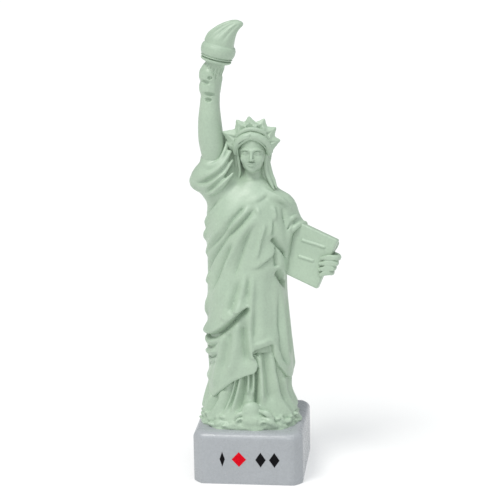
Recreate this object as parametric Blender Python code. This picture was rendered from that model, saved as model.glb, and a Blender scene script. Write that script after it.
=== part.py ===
"""Souvenir figurine of a robed torch bearer on a square plinth, moulded in soft foam and painted.

The front faces -Y, +Z is up, and the origin is the centre of the plinth's underside. Lengths are in
millimetres, and MM turns them into Blender's metres. The moulding is modelled as the elements that a
sculptor would name; neighbours keep GAP between them, where the real casting runs through.
"""

from math import cos, pi, radians, sin

import bmesh
import bpy
from mathutils import Matrix, Vector

MM = 0.001
GAP = 0.3

# Driving dimensions
PLINTH_SIDE = 38.0
PLINTH_HEIGHT = 18.5
PLINTH_CORNER = 4.3
PLINTH_EDGE = 1.8
PRINT_HEIGHT = 5.4
PRINT_THICKNESS = 0.2
FOOTING_TOP = 22.0
NECKLINE_Z = 103.0
HEAD_CENTRE = (1.6, -0.8, 114.6)
TORCH_GRIP = (-12.5, -0.6, 136.0)
TORCH_LEAN = radians(11.0)
TABLET_SIZE = (18.0, 3.2, 18.6)
TABLET_CENTRE = (20.6, -3.0, 77.6)
TABLET_ROLL = radians(17.5)
TABLET_YAW = radians(-22.0)
FINGER_PITCH = 1.8
FINGER_TAPER = (0.9, 0.9, 0.94, 0.94, 0.94, 0.92, 0.88, 0.76)
RAY_COUNT = 7
RAY_STEP = radians(29.0)

# The robe's outline at a few heights: z, left, right, front, back
ROBE_STATIONS = (
    (FOOTING_TOP + GAP, -16.6, 15.6, -14.2, 13.2),
    (27.0, -15.5, 14.4, -13.3, 12.4),
    (36.0, -14.9, 14.8, -13.0, 12.0),
    (50.0, -15.8, 14.0, -12.8, 11.6),
    (64.0, -14.9, 12.8, -11.6, 10.8),
    (76.0, -14.7, 12.4, -10.8, 10.0),
    (88.0, -15.3, 12.3, -10.4, 9.6),
    (95.0, -14.4, 12.2, -9.6, 9.0),
    (99.5, -11.0, 11.8, -8.0, 7.4),
    (NECKLINE_Z, -4.5, 8.4, -5.4, 4.8),
)
ROBE_SQUARENESS = 2.3

# Seams of the robe, each a point on the plane and the plane's normal
HEM_SEAM = (Vector((0.0, 0.0, 37.5)), Vector((-0.5, 0.0, 0.87)))
SASH_SEAM = (Vector((5.0, 0.0, 97.0)), Vector((-0.79, 0.0, 0.61)))
CUFF_SEAM = (Vector((-12.0, 0.0, 111.4)), Vector((-0.43, 0.0, 0.9)))


# Materials

def paint(name, colour, roughness):
    """A Principled material of one colour."""
    material = bpy.data.materials.new(name)
    material.use_nodes = True
    shader = material.node_tree.nodes["Principled BSDF"]
    shader.inputs["Base Color"].default_value = (*colour, 1.0)
    shader.inputs["Roughness"].default_value = roughness
    shader.inputs["Metallic"].default_value = 0.0
    return material


# Shapes

def ring(centre, across, along, half_width, half_depth, count, squareness=2.0):
    """Points of a superellipse about centre, in the plane of the unit vectors across and along."""
    points = []
    for i in range(count):
        angle = 2 * pi * i / count
        c, s = cos(angle), sin(angle)
        radius = (abs(c) ** squareness + abs(s) ** squareness) ** (-1 / squareness)
        points.append(centre + across * (half_width * radius * c) + along * (half_depth * radius * s))
    return points


def loft(rings):
    """A closed bmesh through rings of equally many points, capped at both ends."""
    bm = bmesh.new()
    rows = [[bm.verts.new(p) for p in points] for points in rings]
    count = len(rows[0])
    for low, high in zip(rows, rows[1:]):
        for i in range(count):
            j = (i + 1) % count
            bm.faces.new((low[i], low[j], high[j], high[i]))
    bm.faces.new(rows[0][::-1])
    bm.faces.new(rows[-1])
    bmesh.ops.recalc_face_normals(bm, faces=bm.faces)
    return bm


def tube(path, radii, count=12, flatness=1.0, rounded=True):
    """A tapering tube along path, with a dome of half its end radius at each end."""
    points = [Vector(p) for p in path]
    radii = list(radii)
    if rounded:
        first = (points[0] - points[1]).normalized() * radii[0]
        last = (points[-1] - points[-2]).normalized() * radii[-1]
        points = [points[0] + first * 0.5, points[0] + first * 0.35] + points
        points += [points[-1] + last * 0.35, points[-1] + last * 0.5]
        radii = [radii[0] * 0.35, radii[0] * 0.75] + radii + [radii[-1] * 0.75, radii[-1] * 0.35]
    rings = []
    for i, point in enumerate(points):
        ahead = points[min(i + 1, len(points) - 1)] - points[max(i - 1, 0)]
        ahead.normalize()
        across = ahead.cross(Vector((0, 1, 0)))
        if across.length < 0.1:
            across = ahead.cross(Vector((1, 0, 0)))
        across.normalize()
        along = ahead.cross(across)
        rings.append(ring(point, across, along, radii[i], radii[i] * flatness, count))
    return loft(rings)


def turned(profile, count=24):
    """A closed body turned about Z from (radius, z) points, bottom to top."""
    x, y = Vector((1, 0, 0)), Vector((0, 1, 0))
    return loft([ring(Vector((0, 0, z)), x, y, r, r, count) for r, z in profile])


def ellipsoid(centre, radii, segments=24, rings=14):
    bm = bmesh.new()
    bmesh.ops.create_uvsphere(bm, u_segments=segments, v_segments=rings, radius=1.0)
    bmesh.ops.scale(bm, verts=bm.verts, vec=radii)
    bmesh.ops.translate(bm, verts=bm.verts, vec=centre)
    return bm


def rounded_square(side, corner, z, steps=5):
    """Points of a square with round corners, at height z."""
    points = []
    reach = side / 2 - corner
    for quarter in range(4):
        turn = quarter * pi / 2
        cx = reach * (cos(turn) - sin(turn))
        cy = reach * (sin(turn) + cos(turn))
        for step in range(steps + 1):
            angle = turn + step * pi / 2 / steps
            points.append(Vector((cx + corner * cos(angle), cy + corner * sin(angle), z)))
    return points


def trim(bm, seam, keep_above, gap=GAP / 2):
    """Cuts bm flat at a seam and keeps one side, half a gap back from it."""
    point, normal = seam
    normal = normal.normalized() * (1 if keep_above else -1)
    geometry = bm.verts[:] + bm.edges[:] + bm.faces[:]
    cut = bmesh.ops.bisect_plane(
        bm, geom=geometry, plane_co=point + normal * gap, plane_no=normal, clear_inner=True, dist=1e-4
    )
    edges = [e for e in cut["geom_cut"] if isinstance(e, bmesh.types.BMEdge)]
    bmesh.ops.contextual_create(bm, geom=edges)
    bmesh.ops.recalc_face_normals(bm, faces=bm.faces)
    return bm


# Objects

def empty(name, location, rotation=(0.0, 0.0, 0.0)):
    guide = bpy.data.objects.new(name, None)
    guide.location = Vector(location) * MM
    guide.rotation_euler = rotation
    bpy.context.scene.collection.objects.link(guide)
    return guide


def solid(name, bm, material, parent=None, location=(0, 0, 0), rotation=(0, 0, 0)):
    """Makes an object from a bmesh in millimetres."""
    bmesh.ops.scale(bm, verts=bm.verts, vec=(MM, MM, MM))
    bmesh.ops.triangulate(bm, faces=[f for f in bm.faces if len(f.verts) > 4])
    mesh = bpy.data.meshes.new(name)
    bm.to_mesh(mesh)
    bm.free()
    mesh.materials.append(material)
    mesh.shade_smooth()
    mesh.set_sharp_from_angle(angle=radians(35))
    made = bpy.data.objects.new(name, mesh)
    made.location = Vector(location) * MM
    made.rotation_euler = rotation
    made.parent = parent
    bpy.context.scene.collection.objects.link(made)
    return made


def boolean(target, other, operation):
    """Joins or cuts target with a helper object, which isn't part of the figurine."""
    other.hide_render = True
    other.display_type = "WIRE"
    modifier = target.modifiers.new(operation.lower(), "BOOLEAN")
    modifier.operation = operation
    modifier.object = other
    modifier.solver = "EXACT"


# Plinth and footing

def plinth(material):
    """A square block with round corners and softened edges."""
    steps = 4
    low, high = [], []
    for step in range(steps + 1):
        angle = step * pi / 2 / steps
        inset, rise = PLINTH_EDGE * (1 - sin(angle)), PLINTH_EDGE * (1 - cos(angle))
        side, corner = PLINTH_SIDE - 2 * inset, PLINTH_CORNER - inset
        low.append(rounded_square(side, corner, rise))
        high.append(rounded_square(side, corner, PLINTH_HEIGHT - rise))
    solid("plinth", loft(low + high[::-1]), material)


def plinth_print(black, red):
    """The front print: a row of upright lozenges, the broad one red."""
    y = -PLINTH_SIDE / 2 - GAP - PRINT_THICKNESS / 2
    for number, (x, half_width, ink) in enumerate(
        ((-8.7, 0.9, black), (-2.9, 2.5, red), (4.6, 1.8, black), (9.4, 1.8, black)), start=1
    ):
        lozenge = bmesh.new()
        bmesh.ops.create_cone(
            lozenge, cap_ends=True, segments=4, radius1=1.0, radius2=1.0, depth=PRINT_THICKNESS,
            matrix=Matrix.Rotation(pi / 2, 4, "X"),
        )
        bmesh.ops.scale(lozenge, verts=lozenge.verts, vec=(half_width, 1.0, PRINT_HEIGHT / 2))
        solid(f"print_lozenge_{number}", lozenge, ink, location=(x, y, PLINTH_HEIGHT / 2))


def footing(material):
    """The low ground under the hem, which spreads over most of the plinth's top."""
    x, y = Vector((1, 0, 0)), Vector((0, 1, 0))
    rings = []
    for z, half_width, half_depth in (
        (PLINTH_HEIGHT + GAP, 16.9, 15.7), (PLINTH_HEIGHT + 1.3, 16.8, 15.6),
        (FOOTING_TOP - 0.8, 16.5, 15.3), (FOOTING_TOP, 16.2, 14.9),
    ):
        rings.append(ring(Vector((-0.1, -1.3, z)), x, y, half_width, half_depth, 40, 3.2))
    solid("footing", loft(rings), material)


# Robe

def between(stations, z):
    """The stations' values at height z, on a smooth curve through them."""
    last = len(stations) - 1
    i = max(k for k in range(last) if stations[k][0] <= z or k == 0)
    a, b = stations[i], stations[i + 1]
    before, after = stations[max(i - 1, 0)], stations[min(i + 2, last)]
    t = (z - a[0]) / (b[0] - a[0])
    values = []
    for k in range(1, len(a)):
        rise_a = (b[k] - before[k]) / (b[0] - before[0]) * (b[0] - a[0])
        rise_b = (after[k] - a[k]) / (after[0] - a[0]) * (b[0] - a[0])
        values.append(
            a[k] * (2 * t ** 3 - 3 * t ** 2 + 1) + rise_a * (t ** 3 - 2 * t ** 2 + t)
            + b[k] * (3 * t ** 2 - 2 * t ** 3) + rise_b * (t ** 3 - t ** 2)
        )
    return values


def robe_body(grow=0.0, levels=26, count=32):
    """The whole robe as one loft, to be cut at its seams; grow makes a cutter with clearance."""
    x, y = Vector((1, 0, 0)), Vector((0, 1, 0))
    low, high = ROBE_STATIONS[0][0], ROBE_STATIONS[-1][0]
    rings = []
    for level in range(levels + 1):
        z = low + (high - low) * level / levels
        left, right, front, back = between(ROBE_STATIONS, z)
        centre = Vector(((left + right) / 2, (front + back) / 2, z))
        rings.append(
            ring(centre, x, y, (right - left) / 2 + grow, (back - front) / 2 + grow, count, ROBE_SQUARENESS)
        )
    if grow:
        rings[0] = [p - Vector((0, 0, grow)) for p in rings[0]]
        rings[-1] = [p + Vector((0, 0, grow)) for p in rings[-1]]
    return loft(rings)


def robe(material):
    """Tunic skirt below, mantle wrapped across, bodice over the right shoulder."""
    solid("tunic_skirt", trim(robe_body(), HEM_SEAM, keep_above=False), material)
    mantle = trim(robe_body(), HEM_SEAM, keep_above=True)
    solid("mantle", trim(mantle, SASH_SEAM, keep_above=False), material)
    solid("bodice", trim(robe_body(), SASH_SEAM, keep_above=True), material)
    return solid("robe_clearance", robe_body(grow=GAP), material)


def foot_and_chain(material, clearance):
    """A foot that shows under the hem, and two loose chain links beside it."""
    z = FOOTING_TOP + GAP
    foot = tube(((0.9, -12.5, z + 2.2), (0.9, -14.6, z + 1.9), (0.9, -15.9, z + 1.4)), (1.9, 2.1, 1.4))
    foot = trim(foot, (Vector((0, 0, z)), Vector((0, 0, 1))), keep_above=True, gap=0.0)
    boolean(solid("foot", foot, material), clearance, "DIFFERENCE")
    for name, x, turn in (("chain_link_left", -4.2, 0.5), ("chain_link_right", 6.2, -0.6)):
        link = bmesh.new()
        steps, around = 18, 8
        rows = []
        for i in range(steps):
            angle = 2 * pi * i / steps
            out = Vector((cos(angle), 0.8 * sin(angle), 0))
            rows.append([
                link.verts.new(out * (1.25 + 0.5 * cos(b)) + Vector((0, 0, 0.5 * sin(b))))
                for b in (2 * pi * k / around for k in range(around))
            ])
        for i in range(steps):
            for k in range(around):
                n, m = (i + 1) % steps, (k + 1) % around
                link.faces.new((rows[i][k], rows[n][k], rows[n][m], rows[i][m]))
        bmesh.ops.recalc_face_normals(link, faces=link.faces)
        placed = solid(name, link, material, location=(x, -14.9, z + 1.0), rotation=(0.35, 0, turn))
        boolean(placed, clearance, "DIFFERENCE")


# Raised arm and torch

def raised_arm(material, clearance):
    """Sleeve gathered on the right shoulder, and the bare arm that rises out of it."""
    path = (
        (-6.0, 0.2, 97.5), (-10.5, 0.1, 101.5), (-13.0, 0.0, 105.0),
        (-13.0, -0.2, 109.5), (-12.5, -0.3, 113.5),
    )
    radii = (5.6, 7.2, 7.3, 5.3, 4.8)
    sleeve = trim(tube(path, radii, count=20), CUFF_SEAM, keep_above=False)
    boolean(solid("right_sleeve", sleeve, material), clearance, "DIFFERENCE")
    arm = tube(
        ((-12.7, -0.2, 107.0), (-12.8, -0.4, 112.5), (-13.1, -0.5, 118.0), (-13.2, -0.5, 124.0),
         (-12.8, -0.6, 128.5), (-12.6, -0.6, 131.0)),
        (4.4, 4.5, 4.45, 4.1, 3.5, 3.3), count=16, rounded=False,
    )
    solid("right_arm", trim(arm, CUFF_SEAM, keep_above=True), material)
    return solid("sleeve_clearance", tube(path, [r + GAP for r in radii], count=20), material)


def torch(material, skin):
    """Grip, collar, cup and flame on one leaning axis, with the fist closed round the grip."""
    axis = empty("torch_axis", TORCH_GRIP, (0.0, TORCH_LEAN, 0.0))
    collar, cup, flame = 8.6, 10.2, 13.2
    grip = turned(((0.9, -4.6), (1.7, -4.3), (1.8, -3.5), (1.8, 4.6), (3.2, 5.8), (3.5, collar - GAP)), 20)
    solid("torch_grip", grip, material, axis)
    rings = turned(((3.7, collar), (4.3, collar + 0.3), (4.6, collar + 0.8), (5.0, cup - GAP)), 28)
    solid("torch_collar", rings, material, axis)
    bowl = turned(((5.0, cup), (5.6, cup + 1.0), (5.8, cup + 2.0), (5.6, flame - GAP)), 28)
    solid("torch_cup", bowl, material, axis)
    x, y = Vector((1, 0, 0)), Vector((0, 1, 0))
    licks = (
        (flame, 0.2, 5.5), (flame + 2.2, 0.2, 5.2), (flame + 4.6, 0.6, 4.5), (flame + 6.6, 1.6, 3.7),
        (flame + 8.4, 3.1, 2.9), (flame + 9.7, 4.8, 2.0), (flame + 10.4, 6.1, 1.0),
    )
    rows = [ring(Vector((lean, 0, z)), x, y, r, r * 0.9, 20) for z, lean, r in licks]
    solid("torch_flame", loft(rows), material, axis)
    fist = tube(((0.3, 0.0, -4.2), (0.3, -0.1, -1.5), (0.1, -0.1, 1.5), (0.0, 0.0, 4.4)),
                (3.2, 3.8, 4.0, 3.5), count=18, flatness=0.95, rounded=False)
    hand = solid("right_hand", fist, skin, axis)
    bore = solid("grip_clearance", turned(((1.8 + GAP, -6.0), (1.8 + GAP, 6.0)), 20), skin, axis)
    boolean(hand, bore, "DIFFERENCE")


# Head and crown

def head(material, clearances):
    """Face and neck, and the hair behind and above with a lock down to either shoulder."""
    centre = empty("head_centre", HEAD_CENTRE)
    skull_radii = (4.7, 5.6, 7.2)
    floor = NECKLINE_Z + GAP - HEAD_CENTRE[2]
    face = solid("face_and_neck", ellipsoid((0, 0, 0), skull_radii), material, centre)
    neck = turned(((4.3, floor), (3.5, floor + 1.6), (3.4, -6.0), (2.8, -3.0)), 20)
    bmesh.ops.translate(neck, verts=neck.verts, vec=(0, 0.6, 0))
    boolean(face, solid("neck_core", neck, material, centre), "UNION")
    grown = solid("face_clearance", ellipsoid((0, 0, 0), [r + GAP for r in skull_radii]), material, centre)
    cap = ellipsoid((0, 1.7, 1.2), (5.6, 5.4, 6.9))
    coronal = (Vector((0, -1.5, 0)), Vector((0, 1, 0)))
    hair = solid("hair", trim(cap, coronal, keep_above=True), material, centre)
    neck_hole = turned(((4.7, -12.0), (3.9, -9.5), (3.9, -2.0)), 20)
    bmesh.ops.translate(neck_hole, verts=neck_hole.verts, vec=(0, 0.6, 0))
    locks = (
        (((-3.6, 3.4, 2.0), (-4.8, 3.4, -2.0), (-5.4, 3.0, -6.0), (-5.2, 2.4, -9.5)), (1.8, 2.3, 2.2, 1.5)),
        (((3.4, 3.2, 1.0), (4.2, 3.0, -3.2), (4.9, 2.5, -7.0), (6.0, 1.8, -10.4)), (1.7, 1.7, 1.7, 1.5)),
    )
    for path, radii in locks:
        boolean(hair, solid("hair_lock", tube(path, radii, count=14), material, centre), "UNION")
    for cutter in (*clearances, grown, solid("neck_clearance", neck_hole, material, centre)):
        boolean(hair, cutter, "DIFFERENCE")


def arch(half_width, height, y, thickness, start, count=9, steps=22):
    """A half-elliptical band in front of the head, open below."""
    path = []
    for i in range(steps + 1):
        angle = start + (pi - 2 * start) * i / steps
        path.append((half_width * cos(angle), y, height * sin(angle)))
    return tube(path, [thickness] * len(path), count=count, rounded=False)


def crown(material):
    """A roll of hair over the brow, the diadem behind it, and the fan of rays."""
    centre = empty("crown_centre", HEAD_CENTRE)
    solid("hair_roll", arch(3.95, 5.5, -4.6, 0.75, radians(12)), material, centre)
    solid("diadem", arch(5.45, 7.5, -2.5, 0.65, radians(14)), material, centre)
    fan = (-0.1, -1.9, 1.9)
    half_width, half_depth, half_top = 1.55, 1.2, 0.3
    square = ((-1, -1), (1, -1), (1, 1), (-1, 1))
    for i in range(RAY_COUNT):
        swing = (i - (RAY_COUNT - 1) / 2) * RAY_STEP
        ray = bmesh.new()
        base, tip = 6.75, 10.2 - 0.7 * abs(sin(swing))
        corners = [ray.verts.new((side * half_width, depth * half_depth, base)) for side, depth in square]
        top = [ray.verts.new((side * half_top, depth * half_top, tip)) for side, depth in square]
        ray.faces.new(corners[::-1])
        ray.faces.new(top)
        for k in range(4):
            n = (k + 1) % 4
            ray.faces.new((corners[k], corners[n], top[n], top[k]))
        solid(f"crown_ray_{i + 1}", ray, material, centre, fan, (0, swing, 0))


# Left arm and tablet

def box(size):
    bm = bmesh.new()
    bmesh.ops.create_cube(bm, size=1.0)
    bmesh.ops.scale(bm, verts=bm.verts, vec=size)
    return bm


def tablet_and_left_arm(material, clearance):
    """The tablet in the crook of the left arm, with the fingers closed over its outer edge."""
    place = empty("tablet_centre", TABLET_CENTRE, (0.0, TABLET_ROLL, TABLET_YAW))
    width, depth, height = TABLET_SIZE
    slab = box(TABLET_SIZE)
    bmesh.ops.bevel(slab, geom=slab.edges[:], offset=0.45, segments=2, affect="EDGES")
    turn = Matrix.Rotation(TABLET_YAW, 4, "Z") @ Matrix.Rotation(TABLET_ROLL, 4, "Y")
    to_local = (Matrix.Translation(TABLET_CENTRE) @ turn).inverted()
    seam_point = to_local @ Vector((13.3, 0.0, 0.0))
    seam_normal = to_local.to_3x3() @ Vector((1, 0, 0))
    slab = trim(slab, (seam_point, seam_normal), keep_above=True, gap=0.0)
    tablet = solid("tablet", slab, material, place)
    for row, length in enumerate((7.0, 5.5)):
        rule = box((length, 0.7, 0.8))
        helper = solid(f"tablet_rule_{row + 1}", rule, material, place, (1.0, -depth / 2, 3.4 - 3.6 * row))
        boolean(tablet, helper, "UNION")
    grown = solid("tablet_clearance", box([s + 2 * GAP for s in TABLET_SIZE]), material, place)

    shoulder_to_elbow = ((6.5, 0.4, 94.5), (10.8, 0.6, 93.2), (14.0, 0.9, 89.3), (16.6, 1.2, 85.0))
    sleeve = tube(shoulder_to_elbow, (4.6, 4.9, 4.4, 3.9), count=18)
    cuff = (Vector((17.9, 1.4, 85.0)), Vector((0.62, 0.0, -0.78)))
    upper = solid("left_sleeve", trim(sleeve, cuff, keep_above=False), material)
    boolean(upper, grown, "DIFFERENCE")
    boolean(upper, clearance, "DIFFERENCE")

    wrist = (Vector((24.2, -0.4, 79.2)), Vector((0.66, -0.3, -0.68)))
    elbow_to_wrist = ((16.6, 1.7, 87.0), (21.0, 1.4, 82.3), (26.0, -1.0, 77.6))
    forearm = tube(elbow_to_wrist, (2.9, 2.7, 2.2), count=14, rounded=False)
    forearm = trim(trim(forearm, cuff, keep_above=True), wrist, keep_above=False)
    boolean(solid("left_forearm", forearm, material), grown, "DIFFERENCE")

    palm = ellipsoid((5.4, 4.0, -1.0), (4.6, 1.9, 4.2), 16, 10)
    palm = trim(palm, (to_local @ wrist[0], to_local.to_3x3() @ wrist[1]), keep_above=True)
    hand = solid("left_hand", palm, material, place)
    curl, edge = 3.6, 7.6
    for finger in range(4):
        z = 2.6 - FINGER_PITCH * finger
        path = [
            (edge + curl * sin(turn), curl * cos(turn), z)
            for turn in (radians(t) for t in (5, 35, 62, 90, 118, 145, 172))
        ]
        path.append((edge - 1.6, 0.3 - curl, z - 0.2))
        strand = tube(path, [r * FINGER_PITCH / 2 for r in FINGER_TAPER], count=10)
        boolean(hand, solid(f"finger_{finger + 1}", strand, material, place), "UNION")


def main():
    for old in list(bpy.data.objects):
        bpy.data.objects.remove(old)
    green = paint("verdigris_paint", (0.52, 0.66, 0.52), 0.42)
    grey = paint("grey_paint", (0.46, 0.49, 0.52), 0.4)
    black = paint("black_ink", (0.01, 0.01, 0.01), 0.5)
    red = paint("red_ink", (0.6, 0.0, 0.02), 0.5)
    plinth(grey)
    plinth_print(black, red)
    footing(green)
    clearance = robe(green)
    foot_and_chain(green, clearance)
    sleeve_clearance = raised_arm(green, clearance)
    torch(green, green)
    head(green, (clearance, sleeve_clearance))
    crown(green)
    tablet_and_left_arm(green, clearance)


main()
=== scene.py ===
"""The looks of a soft foam souvenir figurine: a robed torch bearer on a square grey plinth.

The figure is one moulding, so its forms are sculpted as clay: signed distances on a grid, built up and
cut back with soft joins, then skinned with one closed mesh for each element. Sculpting is in millimetres
in the frame of the CAD model; MM turns it into metres.
"""

from math import cos, pi, radians, sin

import bpy
import numpy as np
from mathutils import Euler, Matrix, Vector


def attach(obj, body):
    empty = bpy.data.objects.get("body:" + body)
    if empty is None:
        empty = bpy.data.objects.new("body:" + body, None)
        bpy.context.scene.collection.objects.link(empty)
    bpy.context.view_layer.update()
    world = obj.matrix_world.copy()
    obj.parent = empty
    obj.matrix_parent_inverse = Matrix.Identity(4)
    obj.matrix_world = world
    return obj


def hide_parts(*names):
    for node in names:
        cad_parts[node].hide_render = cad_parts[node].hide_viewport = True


MM = 0.001
FAR = 6  # distances beyond this aren't kept
STRAND_STEPS, FOLD_STEPS = 5, 6  # straight pieces for each span of a smooth path
UNTANGLE_ROUNDS = 8
TINY = 1e-3  # a distance that counts as just inside
RELAX_IN, RELAX_OUT = 0.5, -0.5 * 1.03

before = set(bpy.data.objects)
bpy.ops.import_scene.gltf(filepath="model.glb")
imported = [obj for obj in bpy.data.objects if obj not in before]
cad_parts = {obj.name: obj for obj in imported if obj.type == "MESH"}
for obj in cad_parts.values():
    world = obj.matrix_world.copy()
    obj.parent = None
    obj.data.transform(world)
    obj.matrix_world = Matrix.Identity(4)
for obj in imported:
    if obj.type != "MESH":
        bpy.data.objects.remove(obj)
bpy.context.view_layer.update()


# Clay

def soft_min(a, b, soft):
    """The lesser of a and b, rounded off where they are within soft of each other."""
    if not soft:
        return np.minimum(a, b)
    h = np.maximum(soft - np.abs(a - b), 0) / soft
    return np.minimum(a, b) - h * h * soft * 0.25


def soft_max(a, b, soft):
    return -soft_min(-a, -b, soft)


class Clay:
    """A block of space with a signed distance at each grid point, negative inside the form."""

    def __init__(self, low, high, step):
        self.step = step
        self.axes = [np.arange(a, b + step, step, dtype=np.float32) for a, b in zip(low, high)]
        self.field = np.full([len(a) for a in self.axes], FAR, np.float32)

    def grid(self):
        return np.ix_(*self.axes)

    def change(self, shape, join, soft):
        distance, low, high = shape
        margin = soft + 2 * self.step
        spans = []
        for axis, a, b in zip(self.axes, low, high):
            start, stop = np.searchsorted(axis, (a - margin, b + margin))
            spans.append(slice(start, stop))
        near = np.ix_(*[axis[span] for axis, span in zip(self.axes, spans)])
        where = tuple(spans)
        if self.field[where].size:
            self.field[where] = join(self.field[where], distance(*near), soft)

    def add(self, shape, soft=0):
        self.change(shape, soft_min, soft)

    def cut(self, shape, soft=0):
        self.change(shape, lambda a, b, k: soft_max(a, -b, k), soft)

    def lay(self, soft, *beads, press=(1, 1, 1)):
        """Adds a cord through beads of (x, y, z, radius)."""
        self.add(strand(beads, press), soft)

    def carve(self, soft, *beads):
        """Cuts a cord through beads away."""
        self.cut(strand(beads), soft)


def spline(points, steps):
    """A smooth path through points (Catmull-Rom), with so many steps for each span."""
    points = np.asarray(points, float)
    padded = np.vstack([2 * points[0] - points[1], points, 2 * points[-1] - points[-2]])
    path = []
    for a, b, c, d in zip(padded, padded[1:], padded[2:], padded[3:]):
        for t in np.arange(steps) / steps:
            path.append(
                0.5 * (2 * b + (c - a) * t + (2 * a - 5 * b + 4 * c - d) * t ** 2
                       + (3 * b - a - 3 * c + d) * t ** 3)
            )
    return np.array(path + [points[-1]])


def string(path, radii):
    """Beads from a path's points and the radius at each."""
    return [(*point, radius) for point, radius in zip(path, radii)]


def tapered(path, radius, start, end):
    """Beads of one radius, but for the first and the last."""
    return string(path, (start, *[radius] * (len(path) - 2), end))


def strand(beads, press=(1, 1, 1)):
    """A round cord along a smooth path through beads; press scales its section along each axis."""
    press = np.array(press, float)
    along = spline(beads, STRAND_STEPS)
    points, radius = along[:, :3], along[:, 3]
    reach = radius[:, None] * press
    low, high = (points - reach).min(0), (points + reach).max(0)
    points = points / press

    def distance(x, y, z):
        x, y, z = x / press[0], y / press[1], z / press[2]
        best = None
        for a, b, ra, rb in zip(points, points[1:], radius, radius[1:]):
            ab = b - a
            t = ((x - a[0]) * ab[0] + (y - a[1]) * ab[1] + (z - a[2]) * ab[2]) / (ab @ ab)
            t = np.clip(t, 0, 1)
            d = np.sqrt((x - a[0] - t * ab[0]) ** 2 + (y - a[1] - t * ab[1]) ** 2
                        + (z - a[2] - t * ab[2]) ** 2)
            d = d - (ra + (rb - ra) * t)
            best = d if best is None else np.minimum(best, d)
        return best * min(press)

    return distance, low, high


def turned_grid(centre, turn):
    """A function that takes grid coordinates into a frame at centre, turned by Euler degrees."""
    back = np.array(Euler([radians(a) for a in turn]).to_matrix()).T

    def local(x, y, z):
        x, y, z = x - centre[0], y - centre[1], z - centre[2]
        return [row[0] * x + row[1] * y + row[2] * z for row in back]

    return local


def ball(centre, radii, turn=(0, 0, 0)):
    """An ellipsoid."""
    radii = np.broadcast_to(np.asarray(radii, float), 3)
    local = turned_grid(centre, turn)
    reach = max(radii)

    def distance(x, y, z):
        x, y, z = local(x, y, z)
        outer = np.sqrt(sum((c / r) ** 2 for c, r in zip((x, y, z), radii))) + 1e-6
        inner = np.sqrt(sum((c / r ** 2) ** 2 for c, r in zip((x, y, z), radii))) + 1e-6
        return outer * (outer - 1) / inner

    return distance, np.array(centre) - reach, np.array(centre) + reach


def brick(centre, half, turn=(0, 0, 0), round_by=0.4):
    """A box with round edges."""
    half = np.array(half, float)
    local = turned_grid(centre, turn)
    reach = np.linalg.norm(half)

    def distance(x, y, z):
        q = [np.abs(c) - (h - round_by) for c, h in zip(local(x, y, z), half)]
        outside = np.sqrt(sum(np.maximum(c, 0) ** 2 for c in q))
        return outside + np.minimum(np.maximum(np.maximum(q[0], q[1]), q[2]), 0) - round_by

    return distance, np.array(centre) - reach, np.array(centre) + reach


# Skin: one vertex for each grid cell that the surface crosses

LOW, HIGH = slice(None, -1), slice(1, None)


def index(parts):
    """An index into a block that takes parts[axis] of the axes in parts, and all of the others."""
    return tuple(parts.get(axis, slice(None)) for axis in range(3))


def untangled(field):
    """Fills the corners where two parts of the surface would meet at a single edge or point."""
    field = field.copy()
    for _ in range(UNTANGLE_ROUNDS):
        inside = field < 0
        fixed = 0
        for axis in range(3):
            u, v = (axis + 1) % 3, (axis + 2) % 3
            around = ((LOW, LOW), (HIGH, LOW), (HIGH, HIGH), (LOW, HIGH))
            corners = [index({u: part_u, v: part_v}) for part_u, part_v in around]
            a, b, c, d = (inside[at] for at in corners)
            for crossed, fill in ((a & c & ~b & ~d, 1), (b & d & ~a & ~c, 0)):
                if crossed.any():
                    field[corners[fill]][crossed] = -TINY
                    fixed += crossed.sum()
        if not fixed:
            break
    return field


def skin(clay):
    """Vertices and quads of the surface where the clay's distance is zero."""
    field = untangled(clay.field)
    for axis in range(3):
        for end in (0, -1):
            border = index({axis: end})
            field[border] = np.maximum(field[border], clay.step / 4)
    inside = field < 0
    _, ny, nz = field.shape
    cells, crossings = [], []
    for axis in range(3):
        near, far = index({axis: LOW}), index({axis: HIGH})
        crossed = inside[near] != inside[far]
        edge = np.argwhere(crossed)
        a, b = field[near][crossed], field[far][crossed]
        point = edge.astype(float)
        point[:, axis] += a / (a - b)
        u, v = (axis + 1) % 3, (axis + 2) % 3
        around = []
        for du, dv in ((-1, -1), (0, -1), (0, 0), (-1, 0)):
            cell = edge.copy()
            cell[:, u] += du
            cell[:, v] += dv
            around.append((cell[:, 0] * ny + cell[:, 1]) * nz + cell[:, 2])
        around = np.stack(around, 1)
        around[a > b] = around[a > b][:, ::-1]
        cells.append(around)
        crossings.append(point)
    cells, crossings = np.vstack(cells), np.vstack(crossings)
    used, corner = np.unique(cells, return_inverse=True)
    corner = corner.reshape(-1, 4)
    share = np.bincount(corner.ravel(), minlength=len(used))
    points = np.stack(
        [np.bincount(corner.ravel(), np.repeat(crossings[:, k], 4)) / share for k in range(3)], 1
    )
    points = points * clay.step + [axis[0] for axis in clay.axes]
    return keep_largest(points, corner)


def edges_of(quads):
    return np.vstack([quads[:, [k, (k + 1) % 4]] for k in range(4)])


def keep_largest(points, quads):
    """Drops loose crumbs and keeps the largest connected surface."""
    label = np.arange(len(points))
    edges = edges_of(quads)
    while True:
        before = label.copy()
        least = np.minimum(label[edges[:, 0]], label[edges[:, 1]])
        np.minimum.at(label, edges[:, 0], least)
        np.minimum.at(label, edges[:, 1], least)
        label = label[label]
        if (label == before).all():
            break
    names, sizes = np.unique(label, return_counts=True)
    keep = label == names[sizes.argmax()]
    number = np.cumsum(keep) - 1
    return points[keep], number[quads[keep[quads[:, 0]]]]


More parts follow.
